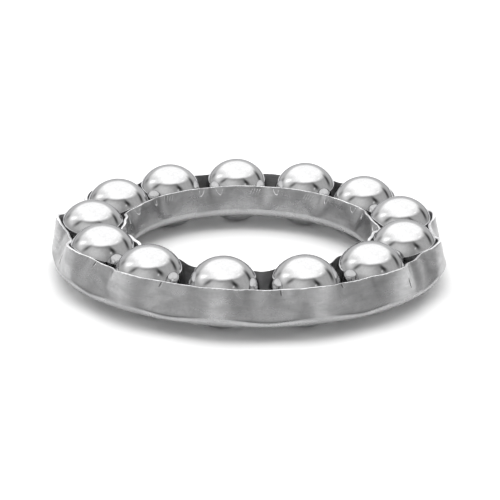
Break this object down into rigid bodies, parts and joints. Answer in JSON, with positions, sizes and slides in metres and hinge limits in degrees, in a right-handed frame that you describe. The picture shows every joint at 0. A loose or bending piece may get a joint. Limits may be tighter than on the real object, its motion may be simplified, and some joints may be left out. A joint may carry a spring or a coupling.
{
  "type": "thrust ball bearing cage and balls",
  "caption": "Ball and cage set of a thrust ball bearing: polished balls held in the round pockets of a stamped ring-shaped steel channel with crimped walls.",
  "frame": {"origin": "on the bearing axis, level with the lowest points of the balls, which are what the part stands on", "axes": "+Z is the bearing axis, pointing up out of the open side of the cage; the first ball is on the -Y side and the others follow counter-clockwise seen from above"},
  "size_m": [0.0604, 0.0604, 0.0103],
  "materials": {
    "cage_sheet": "pressed cold-rolled sheet, soft satin sheen with faint drawing marks",
    "ball_steel": "ground and polished bearing steel, mirror bright"
  },
  "bodies": {
    "cage": {"cage": "cage_sheet"},
    "ball_01": {"ball_01": "ball_steel"},
    "ball_02": {"ball_02": "ball_steel"},
    "ball_03": {"ball_03": "ball_steel"},
    "ball_04": {"ball_04": "ball_steel"},
    "ball_05": {"ball_05": "ball_steel"},
    "ball_06": {"ball_06": "ball_steel"},
    "ball_07": {"ball_07": "ball_steel"},
    "ball_08": {"ball_08": "ball_steel"},
    "ball_09": {"ball_09": "ball_steel"},
    "ball_10": {"ball_10": "ball_steel"},
    "ball_11": {"ball_11": "ball_steel"},
    "ball_12": {"ball_12": "ball_steel"},
    "ball_13": {"ball_13": "ball_steel"}
  },
  "joints": [
    {"name": "ball_01_roll", "type": "hinge", "parent": "cage", "child": "ball_01", "pos_m": [0, -0.02405, 0.00516], "axis": [0, -1, 0], "continuous": true},
    {"name": "ball_02_roll", "type": "hinge", "parent": "cage", "child": "ball_02", "pos_m": [0.01118, -0.0213, 0.00516], "axis": [0.4647, -0.8855, 0], "continuous": true},
    {"name": "ball_03_roll", "type": "hinge", "parent": "cage", "child": "ball_03", "pos_m": [0.01979, -0.01366, 0.00516], "axis": [0.823, -0.5681, 0], "continuous": true},
    {"name": "ball_04_roll", "type": "hinge", "parent": "cage", "child": "ball_04", "pos_m": [0.02387, -0.0029, 0.00516], "axis": [0.9927, -0.1205, 0], "continuous": true},
    {"name": "ball_05_roll", "type": "hinge", "parent": "cage", "child": "ball_05", "pos_m": [0.02249, 0.00853, 0.00516], "axis": [0.935, 0.3546, 0], "continuous": true},
    {"name": "ball_06_roll", "type": "hinge", "parent": "cage", "child": "ball_06", "pos_m": [0.01595, 0.018, 0.00516], "axis": [0.6631, 0.7485, 0], "continuous": true},
    {"name": "ball_07_roll", "type": "hinge", "parent": "cage", "child": "ball_07", "pos_m": [0.00576, 0.02335, 0.00516], "axis": [0.2393, 0.9709, 0], "continuous": true},
    {"name": "ball_08_roll", "type": "hinge", "parent": "cage", "child": "ball_08", "pos_m": [-0.00576, 0.02335, 0.00516], "axis": [-0.2393, 0.9709, 0], "continuous": true},
    {"name": "ball_09_roll", "type": "hinge", "parent": "cage", "child": "ball_09", "pos_m": [-0.01595, 0.018, 0.00516], "axis": [-0.6631, 0.7485, 0], "continuous": true},
    {"name": "ball_10_roll", "type": "hinge", "parent": "cage", "child": "ball_10", "pos_m": [-0.02249, 0.00853, 0.00516], "axis": [-0.935, 0.3546, 0], "continuous": true},
    {"name": "ball_11_roll", "type": "hinge", "parent": "cage", "child": "ball_11", "pos_m": [-0.02387, -0.0029, 0.00516], "axis": [-0.9927, -0.1205, 0], "continuous": true},
    {"name": "ball_12_roll", "type": "hinge", "parent": "cage", "child": "ball_12", "pos_m": [-0.01979, -0.01366, 0.00516], "axis": [-0.823, -0.5681, 0], "continuous": true},
    {"name": "ball_13_roll", "type": "hinge", "parent": "cage", "child": "ball_13", "pos_m": [-0.01118, -0.0213, 0.00516], "axis": [-0.4647, -0.8855, 0], "continuous": true}
  ]
}
